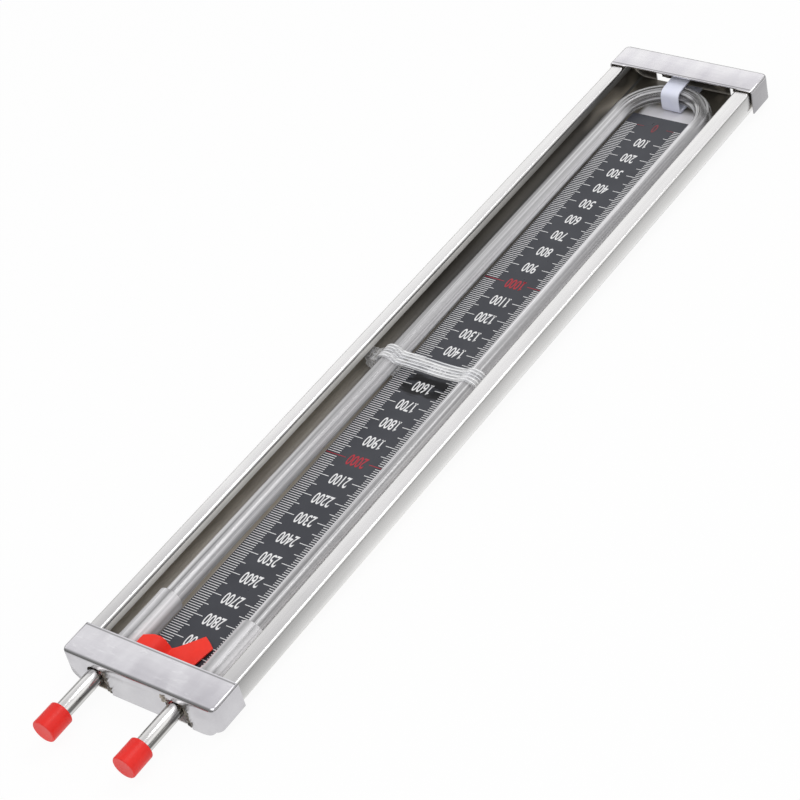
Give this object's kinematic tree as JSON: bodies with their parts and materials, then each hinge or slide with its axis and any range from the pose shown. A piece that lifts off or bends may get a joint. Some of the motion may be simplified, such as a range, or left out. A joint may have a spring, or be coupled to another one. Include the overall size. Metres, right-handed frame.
{
  "type": "u tube manometer",
  "caption": "Glass U tube pressure gauge on a dark ruled plate in an open folded steel channel, with steel pipe ends under soft red caps.",
  "frame": {"origin": "under the middle of the whole part, on the flat back of the steel channel", "axes": "+Y along the channel towards the glass bend, +Z out of the open front, +X across"},
  "size_m": [0.064, 0.3842, 0.0143],
  "materials": {
    "folded_steel": "satin",
    "cap_steel": "satin",
    "clear_glass": "polished",
    "clear_hose": "soft clear hose",
    "polished_pipe": "polished",
    "red_plug": "satin",
    "scale_print": "matt with plain white and red marks",
    "white_foam": "matt foam",
    "clear_band": "ribbed and clear",
    "white_strap": "satin",
    "red_film": "satin"
  },
  "bodies": {
    "root": {"casing": "folded_steel", "near_end_cap": "cap_steel", "far_end_cap": "cap_steel", "u_tube": "clear_glass", "hose_left": "clear_hose", "hose_right": "clear_hose", "pipe_left": "polished_pipe", "pipe_right": "polished_pipe", "plug_cap_left": "red_plug", "plug_cap_right": "red_plug", "scale_plate": "scale_print", "pad_near": "white_foam", "pad_far": "white_foam", "tube_tie": "clear_band", "bend_strap": "white_strap", "red_strip": "red_film"}
  },
  "joints": []
}
